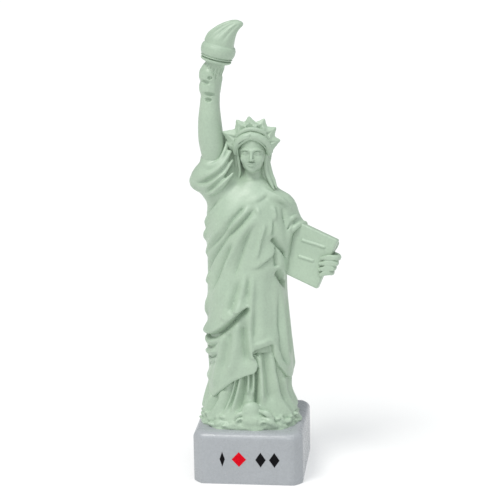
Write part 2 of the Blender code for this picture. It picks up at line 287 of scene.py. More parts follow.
def relax(points, quads, rounds):
    """Evens out the steps that the grid leaves: in turn towards the neighbours and back out again."""
    edges = edges_of(quads)
    count = np.bincount(edges[:, 0], minlength=len(points))[:, None]
    for turn in range(2 * rounds):
        total = np.stack(
            [np.bincount(edges[:, 0], points[edges[:, 1], k], len(points)) for k in range(3)], 1
        )
        points = points + (total / count - points) * (RELAX_OUT if turn % 2 else RELAX_IN)
    return points


def cast(name, clay, material, *nodes, rounds=2):
    """Skins the clay, and puts the piece in place of the CAD nodes that it stands for."""
    points, quads = skin(clay)
    points = relax(points, quads, rounds)
    mesh = bpy.data.meshes.new(name)
    mesh.vertices.add(len(points))
    mesh.vertices.foreach_set("co", (points * MM).astype(np.float32).ravel())
    mesh.loops.add(quads.size)
    mesh.loops.foreach_set("vertex_index", quads.astype(np.int32).ravel())
    mesh.polygons.add(len(quads))
    mesh.polygons.foreach_set("loop_start", np.arange(0, quads.size, 4, dtype=np.int32))
    mesh.update(calc_edges=True)
    mesh.validate()
    place(name, mesh, material, nodes, "verdigris_paint")


def link(name, data):
    thing = bpy.data.objects.new(name, data)
    bpy.context.scene.collection.objects.link(thing)
    return thing


def faceted(name, points, faces):
    mesh = bpy.data.meshes.new(name)
    mesh.from_pydata([Vector(p) * MM for p in points], [], faces)
    mesh.validate()
    return mesh


def place(name, mesh, material, nodes, slot):
    mesh.shade_smooth()
    mesh.materials.append(material)
    piece = link(name, mesh)
    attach(piece, "root")
    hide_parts(*nodes)


# Robe: a tapering column with relief painted on its unrolled side

ROBE = np.array((
    # z, left, right, front, back
    (18, -17.4, 16.6, -15.4, 13.6), (22.3, -16.6, 15.6, -14.2, 13.2), (27, -15.5, 14.4, -13.3, 12.4),
    (36, -14.9, 14.7, -13, 12), (50, -15.7, 13.4, -12.8, 11.6), (64, -14.9, 12.2, -11.6, 10.8),
    (76, -14.6, 12, -10.8, 10), (88, -15, 12.3, -10.4, 9.6), (94, -14.6, 12.4, -9.8, 9.1),
    (98, -11.5, 12, -8.6, 7.8), (100.4, -8.6, 10.2, -7.2, 6.6), (102.4, -5, 7.4, -5.4, 5),
    (104, -2.4, 5.2, -4, 3.6),
))
SQUARENESS = 2.3
MM_PER_DEGREE = 0.236
FIRST_ANGLE, ANGLE_STEP = -220, 0.5
FIRST_Z, LAST_Z, Z_STEP = 16, 108, 0.25


def offset(u, v, p, q):
    """How far along the line from p to q each (u, v) is, held to 0 to 1, and its offsets from there."""
    d = q - p
    t = np.clip(((u - p[0]) * d[0] + (v - p[1]) * d[1]) / (d @ d), 0, 1)
    return t, u - p[0] - t * d[0], v - p[1] - t * d[1]


class Relief:
    """Heights in mm over the robe's side, by angle (0 is the front, 90 is +X) and z."""

    def __init__(self):
        self.angles = np.arange(FIRST_ANGLE, -FIRST_ANGLE, ANGLE_STEP)
        self.levels = np.arange(FIRST_Z, LAST_Z, Z_STEP)
        self.map = np.zeros((len(self.angles), len(self.levels)))

    def near(self, points, reach):
        """The window of the map within reach of points."""
        low, high = points.min(0), points.max(0)
        span = reach / MM_PER_DEGREE
        a = slice(*np.searchsorted(self.angles, (low[0] - span, high[0] + span)))
        z = slice(*np.searchsorted(self.levels, (low[1] - reach, high[1] + reach)))
        return a, z

    def draw(self, folds):
        for height, width, fade_in, fade_out, *points in folds:
            self.stroke(points, height, np.broadcast_to(width, 2), fade_in, fade_out)

    def stroke(self, points, height, widths, fade_in, fade_out):
        """A fold along points: a round ridge, or a sharper groove if height is negative. Its section
        falls off over its width left or right of the stroke, and it fades over shares of its length."""
        left, right = widths
        power = 2 if height > 0 else 1.5
        path = spline(points, FOLD_STEPS)
        for wrap in (-360, 0, 360):
            moved = path + (wrap, 0)
            a, z = self.near(moved, 3 * max(left, right))
            if self.map[a, z].size == 0:
                continue
            u = self.angles[a, None] * MM_PER_DEGREE
            v = self.levels[None, z]
            nearest = np.full(np.broadcast(u, v).shape, 1e9)
            side = np.zeros_like(nearest)
            progress = np.zeros_like(nearest)
            spots = moved * (MM_PER_DEGREE, 1)
            for i, (p, q) in enumerate(zip(spots, spots[1:])):
                t, x, y = offset(u, v, p, q)
                far = np.hypot(x, y)
                better = far < nearest
                nearest = np.where(better, far, nearest)
                side = np.where(better, (q - p)[0] * y - (q - p)[1] * x, side)
                progress = np.where(better, (i + t) / (len(spots) - 1), progress)
            reach = np.where(side > 0, left, right)
            ends = np.clip(progress / fade_in, 0, 1) if fade_in else 1
            ends = ends * (np.clip((1 - progress) / fade_out, 0, 1) if fade_out else 1)
            ends = ends * ends * (3 - 2 * ends)
            self.map[a, z] += height * ends * np.exp(-(nearest / reach) ** power)

    def outline(self, points):
        """Signed distance in mm to a closed outline of (angle, z) points, negative inside."""
        spots = np.asarray(points, float) * (MM_PER_DEGREE, 1)
        u = self.angles[:, None] * MM_PER_DEGREE
        v = self.levels[None, :]
        nearest = np.full(self.map.shape, 1e9)
        inside = np.zeros(self.map.shape, bool)
        for p, q in zip(spots, np.roll(spots, -1, 0)):
            _, x, y = offset(u, v, p, q)
            nearest = np.minimum(nearest, np.hypot(x, y))
            d = q - p
            if d[1]:
                inside ^= ((p[1] > v) != (q[1] > v)) & (u < d[0] * (v - p[1]) / d[1] + p[0])
        return np.where(inside, -nearest, nearest)

    def read(self, values, angle, levels):
        """values looked up at each angle, and at each of the grid's levels."""
        place = (levels - FIRST_Z) / Z_STEP
        row = np.clip(place.astype(int), 0, values.shape[1] - 2)
        values = values[:, row] + (values[:, row + 1] - values[:, row]) * (place - row)
        values = values.astype(np.float32)
        column = (angle - FIRST_ANGLE) / ANGLE_STEP
        left = np.clip(column.astype(np.int32), 0, len(self.angles) - 2)
        share = column - left
        k = np.arange(len(levels))[None, None, :]
        return values[left, k] * (1 - share) + values[left + 1, k] * share


def robe_grid(clay, relief, masks=()):
    """The distance from the robe's surface at each grid point, and each mask's value there."""
    x, y, z = clay.grid()
    levels = clay.axes[2]
    fine = np.arange(ROBE[0, 0], ROBE[-1, 0], Z_STEP)
    blur = 10
    window = np.ones(2 * blur + 1) / (2 * blur + 1)
    sides = []
    for k in range(1, 5):
        values = np.interp(fine, ROBE[:, 0], ROBE[:, k])
        soft = np.convolve(np.pad(values, blur, "edge"), window, "valid")
        sides.append(np.interp(levels, fine, soft).astype(np.float32)[None, None, :])
    left, right, front, back = sides
    across = (x - (left + right) / 2) / ((right - left) / 2)
    along = (y - (front + back) / 2) / ((back - front) / 2)
    n = (np.abs(across) ** SQUARENESS + np.abs(along) ** SQUARENESS) ** (1 / SQUARENESS) + 1e-4
    radius = np.hypot(x - (left + right) / 2, y - (front + back) / 2)
    angle = np.degrees(np.arctan2(across, -along))
    surface = radius * (1 - 1 / n) - relief.read(relief.map, angle, levels)
    return surface, [relief.read(m, angle, levels) for m in masks]


MANTLE_EDGE = (
    # the hem from the left round the front to the right, then the back
    (-100, 27.5), (-75, 26.5), (-53, 28.1), (-39, 31.2), (-20, 35.2), (-3, 37.3), (10, 38.3), (14, 39.4),
    (16.5, 41.6), (14, 43.4), (10, 44.8), (10.5, 46.2), (15, 46.8), (26, 47.6), (40, 48.4), (41, 43.9),
    (46, 40.6), (54, 37.9), (63, 35.6), (75, 34.2), (95, 34.4), (140, 33), (180, 31), (215, 30),
    (215, 120), (-215, 120), (-215, 30), (-180, 31), (-130, 28.5),
)
# Each fold is its height, its width (or its left and right widths), the shares of its length that it takes
# to fade in and to fade out, and its points (angle, z).
MANTLE_FOLDS = (
    # broad forms: the bust, the advanced knee, the flat panel on the right
    (1, 4.5, 0, 0, (-24, 92), (-14, 91)),
    (0.9, 4.5, 0, 0, (20, 92), (30, 91)),
    (0.9, 5, 0, 0, (-30, 66), (-14, 61)),
    (-1, 4, 0.2, 0.2, (46, 76), (46, 50)),
    # folds gathered from the right shoulder across the chest
    (-1.3, 0.8, 0.3, 0.4, (-46, 100.5), (-51, 98.7), (-56, 95.8), (-68, 92)),
    (1, 1.2, 0.35, 0.2, (-41, 98.8), (-48, 95.6), (-60, 91.9), (-76, 87.5)),
    (-1, 0.9, 0.4, 0.1, (-72, 92), (-90, 89)),
    (-1.3, (0.7, 0.8), 0.15, 0.35, (-1, 97.3), (-6, 94.9), (-13, 92.6), (-20, 90), (-28, 87.4), (-44, 83.8),
     (-66, 79.6), (-86, 76.4)),
    (0.6, 1, 0.25, 0.35, (8, 97.2), (0, 94.4), (-9, 91.4), (-19, 88.7), (-30, 85.6)),
    (-1.4, (0.7, 0.9), 0.15, 0.25, (17, 97), (10, 94), (-1, 90.9), (-11, 88.6), (-22, 86.2), (-35, 82.4),
     (-49, 78.6), (-66, 73.6), (-86, 70)),
    (0.9, 1.4, 0.45, 0.3, (24, 95.4), (15, 92.2), (4, 88.8), (-8, 84.4), (-19, 79.4), (-29, 75),
     (-42, 68)),
    (-1.1, (0.9, 1.1), 0.3, 0.3, (20, 91.8), (12, 88.8), (5, 85), (-1, 80.9), (-8, 76.4), (-12, 73),
     (-16, 68)),
    (-1.4, (0.8, 1), 0.25, 0.3, (-9, 86.4), (-20, 81.6), (-29, 77.5), (-37, 73.5), (-46, 69.2), (-60, 63)),
    (0.8, 1.2, 0.3, 0.1, (-24, 91.6), (-43, 86.2), (-60, 81.6), (-80, 77.8)),
    (1.1, 1.2, 0.5, 0, (-62, 87.6), (-84, 84)),
    (0.9, 1.2, 0.4, 0.1, (-54, 73.2), (-72, 68.5)),
    (0.9, 1.6, 0.5, 0, (-60, 64.5), (-84, 58)),
    (-0.8, 1.2, 0.5, 0, (-58, 60), (-84, 54)),
    (0.6, 1, 0.5, 0.5, (24, 95.8), (16, 94.4)),
    (0.6, (0.9, 1.1), 0.3, 0.5, (44, 101.6), (30, 100), (14, 98.8), (-6, 97.8)),
    (-0.6, 0.9, 0.3, 0.5, (40, 100), (26, 98.6), (12, 97.6)),
    # the mantle's upper edge, folded over below the waist
    (0.9, (0.6, 0.8), 0.35, 0.25, (30, 92.6), (28, 89), (25, 85.2), (21, 80.8), (18, 77.8)),
    (0.9, 0.7, 0.4, 0.4, (39, 93), (38, 88.6), (37, 85.4)),
    (0.9, 0.8, 0.4, 0.4, (43, 97.4), (45, 94.5), (46, 91)),
    (-0.7, 0.7, 0.4, 0.3, (43, 92.5), (42, 86)),
    (0.7, (2.6, 0.4), 0.5, 0.1, (3, 75.2), (17, 75.6), (25, 76.5), (35, 78.1), (44, 79.8), (52, 81.8)),
    (-0.5, (0.5, 1.2), 0.5, 0.1, (5, 74.6), (17, 74.9), (25, 75.8), (35, 77.4), (44, 79), (52, 81)),
    # cloth over the left shoulder, and the mantle's end hanging beside the tablet
    (0.7, 0.9, 0.3, 0.4, (36, 100.2), (50, 98.8), (64, 97)),
    (-3.2, (0.6, 0.7), 0.25, 0.25, (64, 96.4), (67, 91.5), (69, 86)),
    (1.1, 1, 0.3, 0.3, (82, 97.5), (86, 93.5), (90, 88)),
    (2, 4.2, 0.45, 0, (56, 97.5), (60, 88), (64, 80), (66, 74.5)),
    (2, 3.2, 0.2, 0, (84, 96), (88, 86), (90, 75)),
    (-2.4, (0.5, 0.8), 0.1, 0.15, (43, 85.8), (48, 84.3), (54, 82.6), (64, 79.8), (76, 76.6)),
    (-1.5, (0.45, 0.8), 0.1, 0.05, (49, 82.6), (50, 78.7), (51, 75.4)),
    (-3.2, (0.35, 1.5), 0.25, 0.1, (51, 74.8), (62, 72.2), (76, 69.4), (95, 68)),
    # vertical folds down to the knee, and the deep fold below it
    (1.1, 1.2, 0.4, 0.1, (6, 74.5), (2, 71), (-1, 67), (-6, 62.5), (-9, 59.8)),
    (-0.9, 1, 0.4, 0.2, (-6, 73.5), (-9, 69), (-14, 63.5), (-17, 59.5)),
    (-0.8, 0.8, 0.4, 0.3, (8, 74), (7.5, 69), (6, 64)),
    (0.7, 1.4, 0.4, 0.1, (-16, 69), (-22, 63), (-28, 57)),
    (1.2, (1, 1.4), 0.2, 0.05, (15, 74), (13, 68), (11, 61.5), (9, 55.5), (8, 49.9), (9, 46.6), (13, 43.6)),
    (-0.6, 0.9, 0.4, 0.3, (16, 63), (15, 55), (13, 50)),
    (1.3, (2.4, 0.35), 0.05, 0.1, (-84, 50.9), (-55, 51.4), (-39, 53.1), (-25, 55.8), (-14, 58.3), (-3, 61),
     (9, 63)),
    (-2.6, (0.45, 0.9), 0.05, 0.08, (-84, 49.7), (-55, 50.2), (-39, 51.9), (-25, 54.5), (-14, 57),
     (-3, 59.7), (10, 62.2)),
    (-1.5, (1.6, 1.1), 0.25, 0.3, (1, 58.5), (0, 53), (1, 49), (0, 44.5), (2, 41)),
    (1.1, 1.5, 0.2, 0.2, (-7, 57.5), (-9, 53.3), (-12, 48.3), (-18, 42.5), (-26, 36)),
    (-1, 1.2, 0.2, 0.3, (-18, 54.5), (-23, 50.2), (-29, 45), (-35, 40.5), (-42, 35)),
    (1, 1.5, 0.2, 0.2, (-27, 52.4), (-31, 48.6), (-38, 42.5), (-46, 36.6), (-56, 30.5)),
    (0.8, 0.8, 0.1, 0.4, (-84, 48.6), (-61, 47.9), (-40, 50.6)),
    (-1.2, 0.55, 0.05, 0.6, (-84, 45), (-58, 45.9), (-43, 48), (-30, 50.6)),
    (0.8, 0.8, 0.1, 0.4, (-84, 43.6), (-58, 44.2), (-38, 46.8)),
    (-1.2, 0.55, 0.05, 0.6, (-84, 41), (-58, 42.3), (-42, 44.2), (-32, 46.8)),
    (-0.9, 0.8, 0.05, 0.4, (-84, 38.2), (-56, 40.4), (-42, 42.4)),
    (0.8, 1.5, 0.1, 0.5, (-84, 34.5), (-66, 35), (-52, 37)),
    # the right panel's long soft folds, and its rolled hem
    (0.3, 1.6, 0.3, 0.1, (30, 73), (27, 62), (25, 50)),
    (-1, 0.9, 0.3, 0.2, (62, 70), (61, 62), (56, 52), (54, 46.1), (57, 42.5), (68, 38.5)),
    (0.9, 1.3, 0.3, 0.2, (74, 66), (70, 56), (66, 48), (66, 42), (72, 38)),
    (-0.9, 0.9, 0.3, 0.2, (80, 62), (76, 54), (76, 47), (84, 42)),
    (0.8, 1.4, 0.3, 0.1, (92, 66), (88, 54), (92, 42)),
    (0.6, 0.9, 0.15, 0.2, (10, 48.2), (22, 49), (38, 49.9), (46, 45.6), (56, 40.4), (70, 36)),
)


def mantle_relief():
    relief = Relief()
    relief.draw(MANTLE_FOLDS)
    # the back: long folds from the left shoulder down to the right hem
    for k in range(7):
        top = 104 + 18 * k
        path = ((top, 92), (top + 5, 76), (top + 8, 60), (top + 6, 44), (top + 2, 34))
        furrow = [(a + 9, z - 3) for a, z in path]
        relief.draw(((1, 1.7, 0.25, 0.1, *path), (-1, 1.2, 0.3, 0.15, *furrow)))
    return relief


SKIRT_FOLDS = (
    (-1.6, 0.9, 0.05, 0.2, (-4, 40), (-5, 34), (-7, 29), (-10, 23)),
    (-2.4, (0.6, 0.8), 0.05, 0.1, (14, 41), (14, 34), (14, 29), (14, 26.5)),
    (-1.4, 0.6, 0.05, 0.2, (-14, 38), (-17, 34), (-21, 29.5), (-27, 23)),
    (-1.2, 0.7, 0.05, 0.2, (-22, 36), (-27, 30), (-35, 22.6)),
    (1, 0.7, 0.05, 0.2, (-19, 36), (-23, 31), (-31, 22.8)),
    (1.2, 0.8, 0.05, 0.2, (-10, 38), (-13, 33.5), (-16, 29), (-20, 23.4)),
    (1.1, 0.6, 0.05, 0.3, (1, 39), (1, 34), (0, 29.5)),
    (-0.9, 0.4, 0.05, 0.4, (5, 39), (5, 31)),
    (1, 0.7, 0.05, 0.3, (10, 40), (9.5, 34), (9, 29.5)),
    (1.3, 1.1, 0.1, 0.2, (21, 47), (19.5, 40), (20, 34), (23, 26)),
    (-1, 1, 0.1, 0.2, (31, 47.5), (29, 41), (31, 33), (36, 26.5)),
    (1.1, 1.3, 0.1, 0.1, (38, 46), (39, 39), (45, 32), (53, 26), (62, 21)),
    (-0.9, 1, 0.1, 0.2, (46, 40), (52, 33), (60, 26)),
    (1, 1.3, 0.1, 0.1, (58, 36), (66, 29), (76, 22)),
    (-3, (1.5, 1.8), 0.1, 0.1, (12, 45), (17, 46.4), (25, 46.8), (37, 47.8)),
    (1, 1.5, 0.1, 0.1, (-36, 32), (-45, 25), (-52, 20)),
    (-0.9, 1.1, 0.1, 0.1, (-46, 29), (-56, 22)),
    (1, 1.4, 0.1, 0.1, (-56, 29), (-66, 22)),
    (1.3, 5, 0.3, 0.1, (-50, 29), (-75, 28), (-110, 29)),
)


def skirt_relief():
    relief = Relief()
    inset = np.clip((relief.levels - 22) / 9, 0, 1)
    relief.map[:] = (-1.5 * inset * inset * (3 - 2 * inset))[None, :]
    relief.draw(SKIRT_FOLDS)
    for k in range(17):
        angle = 80 + 12.5 * k
        relief.draw(((1, 1.3, 0.05, 0.1, (angle, 38), (angle + 1, 30), (angle + 2, 22)),))
    return relief


def build_mantle(material):
    """Mantle, bodice and the sleeves: all the cloth above the hem."""
    relief = mantle_relief()
    clay = Clay((-23, -17.5, 25), (23, 14.5, 121), 0.36)
    surface, (edge,) = robe_grid(clay, relief, (relief.outline(MANTLE_EDGE),))
    z = clay.axes[2][None, None, :]
    wall, overlap, core_floor, neck = 2.6, 0.4, 45, 103.6
    shell = np.maximum(soft_max(surface, edge, 0.6), -(surface + wall))
    core = np.maximum(surface + wall - overlap, core_floor - z)
    body = soft_max(np.minimum(shell, core), z - neck, 1.5)
    clay.field = np.minimum(body, FAR).astype(np.float32)

    # throat and shoulders, and the hood of cloth behind the neck
    clay.lay(3.5, (1.3, -0.6, 97.5, 5.6), (1.5, -0.4, 101.5, 3.9), (1.6, -0.2, 105.2, 2.9))
    clay.lay(2, (-5, 2.2, 101, 4), (-3.2, 3.2, 105.5, 3.2), (-2.4, 3.6, 110, 2.2))
    clay.lay(2, (5.6, 2, 101, 3.6), (5.4, 2.8, 104.5, 2.2))

    # right shoulder and the sleeve that hangs from the raised arm
    clay.lay(
        3, (-6, 0.3, 96.5, 6.3), (-9.5, 0.1, 100.5, 6.6), (-12, -0.1, 104.5, 5.9), (-12, -0.2, 109.4, 4.5))
    clay.lay(2, (-10, -0.3, 104.4, 5.2), (-14.4, -0.2, 104.8, 4.9), (-17, 0, 103.4, 3.5))
    clay.lay(
        2, (-5.6, 1.6, 100.5, 3.6), (-6.4, 1.8, 106, 3.2), (-6.6, 1.6, 111, 2.4), (-6.9, 1.6, 116.8, 1.2))
    clay.lay(
        0.8, (-15.6, 2, 111.2, 0.6), (-15.6, -1, 110.8, 0.7), (-14.2, -3.5, 109.8, 0.8),
        (-12, -4.6, 109.6, 0.85), (-9.4, -4.2, 111.2, 0.9), (-7.8, -2.8, 114, 0.8), (-7, -0.8, 117.4, 0.5))
    clay.lay(0.5, (-9.6, -5, 108.6, 0.5), (-7.6, -4.2, 111, 0.7), (-6.4, -2.6, 114.4, 0.4))
    clay.carve(0.5, (-10.2, -5.4, 109.6, 0.2), (-8.2, -4.6, 111.4, 0.35), (-6.8, -2.8, 115.2, 0.2))
    clay.lay(
        1, (-15.6, 1.5, 111.2, 0.9), (-14.6, 3.8, 111.8, 1.1), (-12, 5, 112.6, 1.1), (-9.2, 4, 113.6, 1),
        (-7.4, 2, 116.4, 0.8))
    for path in (
        ((-18.4, -2.6, 105.2), (-15.4, -4.7, 106), (-11.6, -5.7, 107.6), (-8.2, -5, 110.2),
         (-5.6, -2.8, 114.2)),
        ((-16.4, -4.2, 102.4), (-13.6, -5.8, 103), (-11, -6.4, 104.8), (-7.8, -5.8, 107.6),
         (-5, -3.6, 111.4)),
        ((-13.6, -6, 99.8), (-11, -7, 101.4), (-8, -6.8, 103.8), (-4.8, -5, 107.2)),
    ):
        clay.lay(1, *tapered(path, 1.05, 0.4, 0.4))
    for beads in (
        ((-17, -4.4, 103.6, 0.1), (-14, -5.9, 104.6, 0.6), (-10.6, -6.7, 106.6, 0.75),
         (-7.4, -5.8, 109.2, 0.75), (-5, -3.4, 113.4, 0.2)),
        ((-14.6, -6.3, 101, 0.1), (-12, -7.2, 102.4, 0.6), (-9.4, -7.5, 104.8, 0.75),
         (-6.2, -6.2, 108, 0.75), (-4.4, -4, 110.6, 0.2)),
        ((-12.6, -7.6, 98.6, 0.1), (-10.2, -8.3, 101, 0.6), (-7.2, -7.8, 103.6, 0.75),
         (-5, -6.2, 105.8, 0.2)),
    ):
        clay.carve(0.8, *beads)

    # left shoulder, the upper arm's sleeve and its cuff
    clay.lay(2, (6, 0.3, 95.4, 5.6), (10.6, 0.3, 94.6, 5.2), (13, 0.6, 91.6, 4.2), (15, 1, 87.5, 3.5))
    clay.lay(1, (14.8, -0.2, 89, 3.1), (17.2, 0.4, 87, 2.9), (18.8, 0.6, 85.4, 2.3))
    clay.lay(1, (12.6, -3, 93, 1.6), (13.4, -3.6, 88, 2), (13.1, -4, 83, 1.6), (12.8, -3.8, 77, 1))
    clay.lay(
        0.3, (14.4, -3.8, 86.2, 0.8), (15.8, -3.8, 88, 1), (17.4, -2.6, 89, 1), (18.9, -0.4, 88.8, 1),
        (19.2, 2, 88, 0.8))
    clay.lay(0.6, (13.4, -4.2, 90, 0.5), (15.2, -3.6, 91.4, 0.8), (16.6, -1.8, 91.8, 0.5))
    clay.carve(
        0.4, (13.4, -5.2, 87.6, 0.2), (14.9, -4.8, 89.6, 0.5), (16.6, -3.4, 90.6, 0.5),
        (18, -1.2, 90.6, 0.2))
    clay.lay(
        1.2, (5.6, -4.6, 101.6, 0.4), (8.4, -5.2, 100.2, 0.8), (12, -5, 98.2, 0.9), (14.4, -3.4, 95.2, 0.5))
    cast("mantle_and_sleeves", clay, material, "mantle", "bodice", "right_sleeve", "left_sleeve")


def build_skirt(material):
    """Tunic skirt, the ground that it stands on, the foot and the broken chain."""
    relief = skirt_relief()
    clay = Clay((-20, -19.5, 17), (20, 17, 54), 0.29)
    surface, _ = robe_grid(clay, relief)
    x, y, z = clay.grid()
    middle_x, middle_y, half_width, half_depth, power = -0.3, -0.5, 17, 14.2, 2.9
    n = np.abs((x - middle_x) / half_width) ** power + np.abs((y - middle_y) / half_depth) ** power
    around = np.arctan2(y - middle_y, x - middle_x)
    lobes = 0.45 * np.cos(9 * around + 0.7) + 0.35 * np.cos(14 * around)
    bottom, top, skirt_bottom, skirt_top = 18.2, 20.6, 19, 52
    bank = 14.5 * (n ** (1 / power) - 1) - lobes + 0.8 * (z - 18.6)
    ground = soft_max(np.maximum(bank, bottom - z), z - top, 1.2)
    body = soft_max(surface, z - skirt_top, 1)
    clay.field = soft_min(ground, np.maximum(body, skirt_bottom - z), 1.6).astype(np.float32)

    # rough ground with leaves of cloth, in front of the skirt
    rough = np.random.RandomState(11)
    for _ in range(60):
        a = rough.uniform(-3.1, -0.05)
        reach = rough.uniform(0.9, 1.02)
        centre = (
            middle_x + 16.4 * reach * np.sign(cos(a)) * abs(cos(a)) ** 0.7,
            middle_y - 13.6 * reach * abs(sin(a)) ** 0.7,
            19 + 30 * (1.02 - reach),
        )
        size = rough.uniform(0.7, 1.35)
        clay.add(ball(
            centre, (1.8 * size, 0.8 * size, 0.65 * size),
            (rough.uniform(-40, 0), rough.uniform(-35, 35), rough.uniform(-30, 30))), 0.6)
    # the foot in its sandal
    clay.add(ball((0.9, -12.9, 24.8), (3.3, 2.1, 3.6), (0, 0, 10)), 0.7)
    clay.add(ball((1.6, -13.6, 21.8), (3.6, 2, 2.3)), 1.2)
    for path, radius in (
        (((-0.4, -14.9, 27.2), (1.8, -15.4, 26.6), (3.4, -14.8, 25.6), (4.3, -13.8, 24.2)), 0.4),
        (((-1.4, -14.8, 24.6), (0.4, -15.5, 23.9), (2.4, -15.6, 23.6), (4.2, -14.8, 22.8)), 0.3),
        (((0.2, -15.4, 19.8), (0.6, -15.9, 21.4), (0.8, -15.6, 22.4)), 0.3),
        (((1.9, -15.4, 19.8), (2.1, -15.9, 21.4), (2.2, -15.6, 22.4)), 0.3),
        (((3.5, -15.2, 19.8), (3.6, -15.5, 21.2), (3.6, -15.2, 22.2)), 0.3),
    ):
        clay.carve(0.4, *tapered(path, radius, 0.12, 0.12))
    for beads in (
        ((4.4, -13.4, 25, 0.6), (6.6, -13.8, 24.4, 1.1), (8.6, -13.4, 22.4, 0.7)),
        ((5.4, -13.8, 22.6, 0.6), (7.6, -14.2, 21.6, 1.1), (9.6, -13.6, 19.8, 0.8)),
        ((-1.6, -13.8, 24.4, 0.5), (-3.4, -13.8, 23.8, 0.9), (-5.4, -13.2, 22, 0.6)),
    ):
        clay.lay(0.5, *beads)
    # chain links on either side, half sunk
    for centre, size in (((-2.6, -14.2, 21.2), 1.5), ((5.4, -14.4, 20.6), 1.3)):
        ring = [
            (centre[0] + size * cos(a), centre[1] + 0.2 * size * cos(a) - 0.3 * sin(a),
             centre[2] + 0.85 * size * sin(a), 0.4) for a in np.linspace(0, 2 * pi, 11)
        ]
        clay.lay(0.3, *ring)
        clay.cut(ball((centre[0], centre[1] - 0.9, centre[2]), (0.75, 0.9, 0.55)), 0.3)
    cast(
        "skirt_and_ground", clay, material, "tunic_skirt", "footing", "foot", "chain_link_left",
        "chain_link_right")


# Raised arm and torch

TORCH_CENTRE = (-12.6, -0.6, 136)
TORCH_LEAN = (0, 14, 0)


def build_raised_arm(material):
    clay = Clay((-19, -7.5, 106), (-5, 7, 145), 0.19)
    clay.lay(
        0, (-11.6, -0.2, 107, 3.5), (-11.9, -0.4, 112, 3.9), (-12.6, -0.5, 118, 4.3), (-12.9, -0.5, 124, 4),
        (-12.8, -0.5, 129.2, 3.45), (-12.5, -0.5, 133, 3.25), (-12.35, -0.5, 136.4, 3.15),
        (-12.3, -0.6, 139.4, 3.3), (-12.25, -0.6, 141.2, 3.1), (-12.1, -0.6, 142.2, 2.6))
    for height, radius, soft in ((140.9, 0.8, 1.4), (139.3, 1.1, 0.8), (136.4, 1, 1.4), (134.9, 0.9, 1.4)):
        clay.lay(
            soft, (-14, 1.6, height + 0.4, radius), (-15, -0.4, height + 0.2, radius * 1.05),
            (-14.4, -2.3, height, radius), (-12.8, -3.1, height, radius * 0.9),
            (-11.3, -3, height - 0.1, radius * 0.6))
    clay.lay(0.8, (-13.9, -0.4, 140.4, 1.9), (-13.5, -0.5, 142, 1.8), (-12.8, -0.6, 143.4, 1.5))
    clay.lay(
        0.6, (-10.2, 0.8, 134.4, 1), (-9.8, -0.2, 137.2, 1.2), (-9.5, -1, 139.6, 1.25),
        (-10.6, -2.6, 140.6, 0.95), (-12, -3.2, 140.4, 0.5))
    for path, radius in (
        (((-12.2, -4.2, 141.5), (-10.8, -3.9, 141.2), (-10.1, -3.3, 139.9), (-10, -3.2, 138.4)), 0.5),
        (((-12.8, -4, 139.7), (-12.1, -4, 139.5), (-11.5, -3.8, 139.4)), 0.6),
        (((-15.6, -2.6, 138.3), (-13.8, -3.7, 138), (-12.3, -3.9, 137.9)), 0.8),
        (((-14.5, -3.5, 134.3), (-12.6, -3.8, 134), (-10.6, -3.2, 133.8)), 0.75),
        (((-14, -3.3, 132.4), (-12.9, -3.6, 132), (-11.8, -3.4, 132.1)), 0.8),
    ):
        clay.carve(0.3, *tapered(path, radius, 0.15, 0.2))
    cast("raised_arm", clay, material, "right_arm", "right_hand")


def build_torch(material):
    clay = Clay((-17.5, -7.5, 139), (2, 6.5, 160), 0.17)
    local = turned_grid(TORCH_CENTRE, TORCH_LEAN)
    profile = np.array((
        # z, radius
        (3, 2.8), (5.5, 2.95), (7.6, 3.3), (8.5, 3.4), (8.7, 4.3), (9.1, 5.05), (9.5, 5.3), (9.75, 5.25),
        (9.9, 4.6), (10.15, 4.6), (10.3, 5.35), (10.55, 5.5), (10.75, 5), (10.9, 5.25), (11.3, 5.6),
        (12.4, 5.9), (13.6, 5.85), (14.5, 5.5), (15.1, 4.6),
    ))

    def turning(x, y, z):
        x, y, z = local(x, y, z)
        around = np.arctan2(y, x)
        radius = np.interp(z, profile[:, 0], profile[:, 1]).astype(np.float32)
        flutes = 0.25 * np.cos(15 * around) * np.clip(8 - z, 0, 1)
        side = (np.hypot(x, y) - radius - flutes) * 0.75
        return np.maximum(side, np.maximum(profile[0, 0] - z, z - profile[-1, 0]))

    reach = np.array((9, 7, 17))
    clay.add((turning, TORCH_CENTRE - reach, TORCH_CENTRE + reach))
    heart = (
        (-9.4, -0.6, 149.4), (-8.6, -0.6, 151.4), (-7.4, -0.6, 153.3), (-5.6, -0.6, 155.2),
        (-3.6, -0.6, 156.6), (-2.2, -0.6, 157.1))
    girth = (5, 4.5, 3.7, 2.7, 1.8, 1.2)
    clay.lay(0.3, *string(heart, girth))
    for k in range(10):
        ridge, groove = [], []
        for (x, y, z), r in zip(heart, girth):
            for path, turn, out in ((ridge, 0, 0.8), (groove, 18, 1.1)):
                a = radians(36 * k + 8 + turn) + 0.04 * (z - 149.4)
                path.append((x + out * r * cos(a), y + out * r * sin(a), z - 0.45 * r * cos(a) + 0.6))
        clay.lay(0.5, *string(ridge, (0.6, 0.8, 0.75, 0.6, 0.45, 0.3)))
        clay.carve(0.6, *string(groove[1:5], (0.05, 0.35, 0.3, 0.1)))
    cast("torch", clay, material, "torch_grip", "torch_collar", "torch_cup", "torch_flame")


# Head: a plain sculptor's head, with hair, diadem and rays

MIDDLE = 1.7  # x of the head's mirror plane


